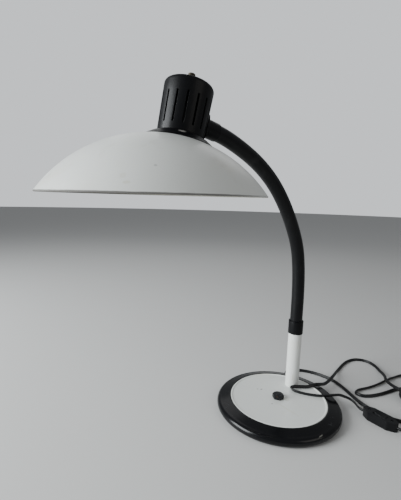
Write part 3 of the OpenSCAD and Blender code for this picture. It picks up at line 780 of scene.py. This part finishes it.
bush = lathe("cord_bush_piece", [
    (2.9, 86), (3.9, 86), (3.9, 96.7), (5.5, 96.7, 0.6), (5.2, 99, 0.5), (3.7, 116.6, 0.5),
    (2.9, 116.6)], AT_EXIT, 48)
dress(bush, RUBBER_BLACK, "base", ["cord_bush"])
RELIEF = relief_rings_recipe("relief_rings", RUBBER_BLACK)
bush_rings = RELIEF.make("cord_bush_rings", AT_EXIT @ Matrix.Translation((0, 0, 101)), **{
    "Count": 6, "Pitch": 2.4, "First radius": 4.95, "Shrink": 0.2, "Ring thickness": 0.1,
    "Flatness": 1.0})
dress(bush_rings, RUBBER_BLACK, "base")

# ================= post =================
post = lathe("post_tube_piece", [
    (POST_R - 1.5, DISC_TOP), (POST_R, DISC_TOP), (POST_R, POST_TOP, 0.3), (POST_R - 1.5, POST_TOP)],
    AT_POST, 96)
dress(post, POST_ENAMEL, "base", ["post_tube"])
lower = lathe("lower_ferrule_piece", [
    (NECK_BORE, POST_TOP - 10), (POST_R - 1.6, POST_TOP - 10), (POST_R - 1.6, POST_TOP + 0.05),
    (FERRULE_R, POST_TOP + 0.05, 0.7), (FERRULE_R, POST_TOP + FERRULE_LEN, 1.1),
    (NECK_R + 0.05, POST_TOP + FERRULE_LEN, 0.5), (NECK_R + 0.05, POST_TOP + FERRULE_LEN - 3),
    (NECK_BORE, POST_TOP + FERRULE_LEN - 3)], AT_POST, 96)
dress(lower, COVER_BLACK, "base", ["lower_ferrule"])


# ================= neck =================
def neck_point(station, along):
    """Point and heading on the neck's line, along mm past a station."""
    index = station if along >= 0 else station - 1
    x, z, heading = STATIONS[index]
    length, turn = SEGMENTS[index], TURNS[index]
    run = along if along >= 0 else length + along
    part = turn * run / length
    middle = math.radians(heading + part / 2)
    c = chord(run, part)
    return Vector((x - c * math.sin(middle), POST_Y, z + c * math.cos(middle))), heading + part


SLEEVE_STEPS = 48
SLEEVE_PITCH = 2.0                  # distance between the sleeve's rings of points


def sleeve_length(hinge):
    """One length of the sleeve, from the middle of a segment to the middle of the next."""
    before = -SEGMENTS[hinge - 1] + 0.01 if hinge == 1 else -SEGMENTS[hinge - 1] / 2
    after = SEGMENTS[hinge] - 0.01 if hinge == 9 else SEGMENTS[hinge] / 2
    count = round((after - before) / SLEEVE_PITCH)
    outer, inner = [], []
    for k in range(count + 1):
        centre, heading = neck_point(hinge, before + (after - before) * k / count)
        a = math.radians(heading)
        across = Vector((math.cos(a), 0, math.sin(a)))
        for rings, r in ((outer, NECK_R), (inner, NECK_BORE)):
            rings.append([centre + r * (math.cos(math.tau * j / SLEEVE_STEPS) * across
                                        + math.sin(math.tau * j / SLEEVE_STEPS) * Vector((0, 1, 0)))
                          for j in range(SLEEVE_STEPS)])
    bm = bmesh.new()
    loft(bm, outer + inner[::-1], wrap=True)
    piece = finish_mesh("neck_sleeve_piece_%d" % hinge, bm, 60)
    dress(piece, SLEEVE_BLACK)
    start, _ = neck_point(hinge, -17)
    end, _ = neck_point(hinge, 17)
    start * MM
    end * MM
    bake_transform(piece)
    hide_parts("neck_sleeve_%d" % hinge, *(["neck_sleeve_0"] if hinge == 1 else []))
    return piece


for hinge in range(1, 10):
    sleeve_length(hinge)
for i in range(10):
    dress(frame["nodes"]["neck_core_%d" % i], STEEL)

# ================= head =================
upper = lathe("upper_ferrule_piece", [
    (NECK_BORE - 1, 28.3), (11, 28.3), (11, FERRULE_FAR + 0.9, 0.9),
    (NECK_R + 0.05, FERRULE_FAR + 0.9, 0.4), (NECK_R + 0.05, FERRULE_FAR - 2.5),
    (NECK_BORE - 1, FERRULE_FAR - 2.5)], AT_ARM, 96)
dress(upper, COVER_BLACK, "head", ["upper_ferrule"])
saddle = refined("saddle_plate_piece", "saddle_plate", 0.3, angle=40)
dress(saddle, COVER_BLACK, "head", ["saddle_plate"])


def vented_cover():
    """The lampholder's cover: a cup with upright slots cut through its wall."""
    high = COVER_TOP - COVER_FOOT
    outer_r = lambda z: COVER_R + (COVER_R_TOP - COVER_R) * min(1, z / (high - 5))
    wall = [0.5, SLOT_LOW - COVER_FOOT, SLOT_HIGH - COVER_FOOT, high - 5]
    outer = [(COVER_R - 0.4, 0)] + [(outer_r(z), z) for z in wall]
    corner = [(COVER_R_TOP - 5 + 5 * math.cos(a), high - 5 + 5 * math.sin(a))
              for a in (math.radians(15 * k) for k in range(1, 7))]
    inner = [(outer_r(z) - COVER_WALL, z) for z in reversed(wall[1:])]
    roof = [(NIPPLE_R + 0.06, high), (NIPPLE_R + 0.06, high - 2.5), (COVER_R_TOP - 6, high - 2.5)]
    profile = outer + corner + roof + inner + [(COVER_R - COVER_WALL, 0)]
    half = math.degrees(math.asin(SLOT_W / 2 / COVER_R))
    pitch = 360 / SLOTS
    angles, slot_columns = [], []
    for k in range(SLOTS):
        middle = SLOT_FIRST + k * pitch
        if 1 <= k <= SLOTS - 2:
            slot_columns.append(len(angles) + 3)
        angles += [middle - 12, middle - 8.5, middle - 5, middle - half, middle + half,
                   middle + 5, middle + 8.5]
    rings = [[AT_HEAD @ Vector((r * math.cos(math.radians(a)), r * math.sin(math.radians(a)),
                                COVER_FOOT + z)) for a in angles] for r, z in profile]
    out_row, in_row = 2, profile.index(inner[1])
    skip = {(row, column) for row in (out_row, in_row) for column in slot_columns}
    bm = bmesh.new()
    rows = loft(bm, rings, wrap=True, skip=skip)
    for c in slot_columns:
        low_o, high_o, high_i, low_i = (rows[r] for r in (out_row, out_row + 1, in_row, in_row + 1))
        for a, b, across in ((low_o, high_o, c), (low_o, high_o, c + 1)):
            bm.faces.new((a[across], b[across], high_i[across], low_i[across]))
        bm.faces.new((low_o[c], low_o[c + 1], low_i[c + 1], low_i[c]))
        bm.faces.new((high_o[c], high_o[c + 1], high_i[c + 1], high_i[c]))
    return softened(finish_mesh("vented_cover", bm, 35), 0.25, 2, 50)


dress(vented_cover(), COVER_BLACK, "head", ["cover"])


def on_dome(r, gap=0.0):
    """Height on the head's axis of the dome's outer skin at a distance r from it."""
    return math.sqrt((DOME_R + gap) ** 2 - r * r) - DOME_R


flange = lathe("cover_flange", [
    (HOLDER_HOLE + 0.2, COVER_FOOT - 1.6), (HOLDER_HOLE + 0.2, COVER_FOOT),
    (COVER_R + 1.2, COVER_FOOT, 0.8), (34, 1.1, 4), (FLANGE_R, on_dome(FLANGE_R) + 0.75, 0.5),
    (FLANGE_R + 0.2, on_dome(FLANGE_R) + 0.05), (FLANGE_R - 1.2, on_dome(FLANGE_R - 1.2) + 0.05),
    (33.2, -0.5), (COVER_R - 0.3, COVER_FOOT - 1.6)], AT_HEAD, 128)
dress(flange, COVER_BLACK, "head", ["flange"])


def domed_shade(around=240, down=44):
    """A shell between the lampholder's hole, square to the head, and the level rim."""
    hole_angle = math.asin(HOLDER_HOLE / DOME_R)
    rim_angle = math.acos((DOME_R - DOME_H) / DOME_R)
    turn = Matrix.Rotation(TILT, 3, "Y")
    shell = []
    for k in range(around):
        a = math.tau * k / around
        level = Vector((math.cos(a), math.sin(a), 0))
        at_rim = level * math.sin(rim_angle) + Vector((0, 0, math.cos(rim_angle)))
        at_hole = turn @ (level * math.sin(hole_angle) + Vector((0, 0, math.cos(hole_angle))))
        shell.append((at_hole, at_rim))
    lip = 0.35
    layers = ([(t / down, DOME_R) for t in range(down + 1)]
              + [(1 + lip / DOME_R, DOME_R + 0.25), (1 + 2.4 * lip / DOME_R, DOME_R - DOME_T / 2),
                 (1 + lip / DOME_R, DOME_R - DOME_T - 0.25)]
              + [(t / down, DOME_R - DOME_T) for t in range(down, -1, -1)])
    rings = [[DOME + r * (a.slerp(b, t) if t <= 1 else b + Vector((0, 0, 1 - t))) for a, b in shell]
             for t, r in layers]
    bm = bmesh.new()
    loft(bm, rings, wrap=True)
    return finish_mesh("domed_shade", bm, 40)


dress(domed_shade(), SHADE_ENAMEL, "head", ["shade"])

holder = lathe("lampholder_piece", [
    (0.01, MOUTH_S + 31), (14.95, MOUTH_S + 31), (14.95, MOUTH_S + 2, 0.4), (16.2, MOUTH_S, 0.5),
    (HOLDER_R, MOUTH_S, 0.8), (HOLDER_R, COVER_FOOT + 0.02), (23.6, COVER_FOOT + 0.02),
    (23.6, COVER_FOOT + 2.2, 0.4), (17, COVER_FOOT + 2.6, 0.8), (16.5, 34, 3), (9, 41, 1),
    (0.01, 41)], AT_HEAD, 96)
dress(holder, HOLDER_BLACK, "head", ["lampholder"])
shell_thread = thread("screw_shell_piece", 13.9, -0.8, 3.63, MOUTH_S + 5, MOUTH_S + 27, 14.88,
                      AT_HEAD, 64)
dress(shell_thread, BRASS, "head", ["screw_shell"])
dress(frame["nodes"]["centre_contact"], BRASS)
dress(frame["nodes"]["neck_bolt"], STEEL)
dress(frame["nodes"]["lock_nut"], STEEL)
dress(frame["nodes"]["nipple_nut"], STEEL)

ring = lathe("shade_ring_piece", [
    (19.7, -9.4), (25.4, -9.4, 0.5), (26.7, -8.2, 0.5), (26.7, -4.2, 0.5),
    (25.4, -9.4 + 7.9 + on_dome(25.4)), (19.7, -9.4 + 8.0 + on_dome(19.7))], AT_HEAD, 96)
dress(ring, HOLDER_BLACK, "head", ["shade_ring"])
RIBS = rib_ring_recipe("ring_ribs", HOLDER_BLACK)
ring_ribs = RIBS.make("shade_ring_grips", AT_HEAD @ Matrix.Translation((0, 0, -6.2)), **{
    "Count": 40, "Radius": 26.55, "Rib radius": 0.55, "Rib height": 3.4})
dress(ring_ribs, HOLDER_BLACK, "head")

stud = thread("threaded_stud", NIPPLE_R, 0.35, 1.2, NIPPLE_LOW, NIPPLE_TOP, 2.6, AT_HEAD, crown=0.8)
dress(stud, STUD_METAL, "head", ["nipple"])

# ================= switch =================
switch_base = dress(refined("switch_base_piece", "switch_base", 0.7, 3, 50),
                    SWITCH_BLACK, "base", ["switch_base"])
switch_lid = dress(refined("switch_lid_piece", "switch_lid", 0.9, 3, 50),
                   SWITCH_BLACK, "base", ["switch_lid"])


def rocker_piece():
    """A rocker with a hollowed top, lying at rest with one end pressed down."""
    place = (AT_SWITCH @ Matrix.Translation((0, 0, ROCKER_Z))
             @ Matrix.Rotation(math.radians(-ROCKER_REST), 4, "Y"))
    top = [(-8.3 + 16.6 * k / 12, 3.2 + 1.0 * (abs(k - 6) / 6) ** 2) for k in range(13)]
    outline = [(-3, -3), (-7.6, 0.6)] + top + [(7.6, 0.6), (3, -3)]
    bm = bmesh.new()
    rings = [[place @ Vector((x, y, z)) for x, z in outline] for y in (-4.9, 4.9)]
    loft(bm, rings)
    return softened(finish_mesh("switch_rocker_piece", bm, 30), 0.4, 3, 40)


rocker = dress(rocker_piece(), SWITCH_BLACK, "rocker", ["switch_rocker"])
SCREWS = screw_pair_recipe("lid_screws", STEEL)
screws = SCREWS.make("switch_screw_heads", AT_SWITCH @ Matrix.Translation((0, 0, 7.6)), **{
    "Spacing": 34.0, "Head radius": 1.7, "Head height": 10.4, "Slot width": 0.5})
dress(screws, STEEL, "base", ["switch_screws"])


# ================= plug =================
def plug_piece():
    """The moulded plug: a short collar round the flex that swells into a flat grip."""
    stages = [(-2, 3.4, 3.4, 2), (0.5, 4.4, 4.3, 2), (4, 7.4, 6.0, 2), (8, 12.0, 7.8, 2.1),
              (12, 15.2, 8.6, 2.3), (16, 16.5, 8.9, 2.5), (27, 16.2, 8.8, 2.7), (34, 17.1, 9.2, 2.8),
              (38.6, 17.1, 9.2, 2.8), (40, 16.3, 8.5, 2.8)]
    bm = bmesh.new()
    rings = []
    steps = 5
    for i in range(len(stages) - 1):
        for s in range(steps + (i == len(stages) - 2)):
            t = s / steps
            x, w, h, power = (a + (b - a) * t for a, b in zip(stages[i], stages[i + 1]))
            ring = []
            for k in range(48):
                a = math.tau * k / 48
                c, n = math.cos(a), math.sin(a)
                ring.append(AT_PLUG @ Vector((
                    x, w * math.copysign(abs(c) ** (2 / power), c),
                    h * math.copysign(abs(n) ** (2 / power), n))))
            rings.append(ring)
    loft(bm, rings)
    return finish_mesh("plug_body_piece", bm, 50)


plug = dress(plug_piece(), RUBBER_BLACK, "base", ["plug_body"])


def pin_pair(name, outline, material, replaces):
    """Both pins' share of one outline, as one piece."""
    steps = 32
    bm = bmesh.new()
    for side in (-1, 1):
        place = AT_PLUG @ Matrix.Translation((0, side * 9.5, 0)) @ Matrix.Rotation(math.pi / 2, 4, "Y")
        loft(bm, [[place @ Vector((p[0] * math.cos(math.tau * k / steps),
                                   p[0] * math.sin(math.tau * k / steps), p[1]))
                   for k in range(steps)] for p in fillet(outline)], wrap=True)
    return dress(finish_mesh(name, bm, 40), material, "base", replaces)


pins = pin_pair("plug_pins_piece", [(0.01, 39), (2.2, 39), (2.2, 50), (2.4, 50, 0.1),
                                    (2.4, 58.9, 1.4), (0.01, 58.9)], PIN_METAL,
                ["plug_pins"])
pin_sleeves = pin_pair("plug_pin_sleeves", [(2.15, 39.5), (2.4, 39.5), (2.4, 50, 0.1), (2.15, 50)],
                       RUBBER_BLACK, [])

# ================= coil tie =================
tie = refined("coil_tie_piece", "coil_tie", 0.3)
dress(tie, RUBBER_BLACK, "base", ["coil_tie"])

# ================= flex facts =================
dress(flex_main, FLEX_BLACK, "base", ["cord_a", "cord_coil", "cord_b"])
dress(flex_plug, FLEX_BLACK, "base", ["cord_c"])
main_path[0] * MM
path_length(main_path) * MM
[p * MM for p in main_path]
plug_path[0] * MM
path_length(plug_path) * MM
[p * MM for p in plug_path]


# ================= floor and light =================
def floor():
    f = Finish("floor_pale", (0.62, 0.62, 0.61), 0.6)
    bm = bmesh.new()
    bmesh.ops.create_circle(bm, cap_ends=True, segments=64, radius=9000)
    obj = finish_mesh("floor", bm)
    obj.data.materials.append(f.material)


def softbox(name, at, aim, size, power, color=(1, 1, 1)):
    lamp = bpy.data.objects.new(name, bpy.data.lights.new(name, "AREA"))
    lamp.data.shape, lamp.data.size, lamp.data.size_y = "RECTANGLE", size[0], size[1]
    lamp.data.energy, lamp.data.color = power, color
    lamp.location = at
    lamp.rotation_mode = "QUATERNION"
    lamp.rotation_quaternion = (Vector(aim) - Vector(at)).to_track_quat("-Z", "Y")
    bpy.context.scene.collection.objects.link(lamp)


floor()
middle = Vector((-0.05, 0.01, 0.2))
left = -cam_right
toward = cam_right.cross(cam_up)
softbox("window_light", middle + left * 1.6 + toward * 0.4 + Vector((0, 0, 0.5)), middle,
        (1.1, 1.1), 60, (0.94, 0.98, 1.0))
softbox("fill_light", middle - left * 1.6 + toward * 1.3 + Vector((0, 0, 0.9)), middle,
        (1.4, 1.2), 6, (1.0, 0.96, 0.90))
softbox("back_light", middle - toward * 1.4 + Vector((0, 0, 1.3)), middle, (1.6, 0.8), 3)


def studio_world(seen, lit):
    """A plain pale surround: one strength as the camera sees it, one as it lights."""
    world = bpy.data.worlds.new("studio")
    world.use_nodes = True
    nodes, links = world.node_tree.nodes, world.node_tree.links
    sky = nodes["Background"]
    sky.inputs["Color"].default_value = (0.90, 0.93, 0.96, 1)
    path = nodes.new("ShaderNodeLightPath")
    strength = nodes.new("ShaderNodeMapRange")
    strength.inputs["To Min"].default_value = lit
    strength.inputs["To Max"].default_value = seen
    links.new(path.outputs["Is Camera Ray"], strength.inputs["Value"])
    links.new(strength.outputs["Result"], sky.inputs["Strength"])
    bpy.context.scene.world = world


studio_world(seen=0.92, lit=0.28)
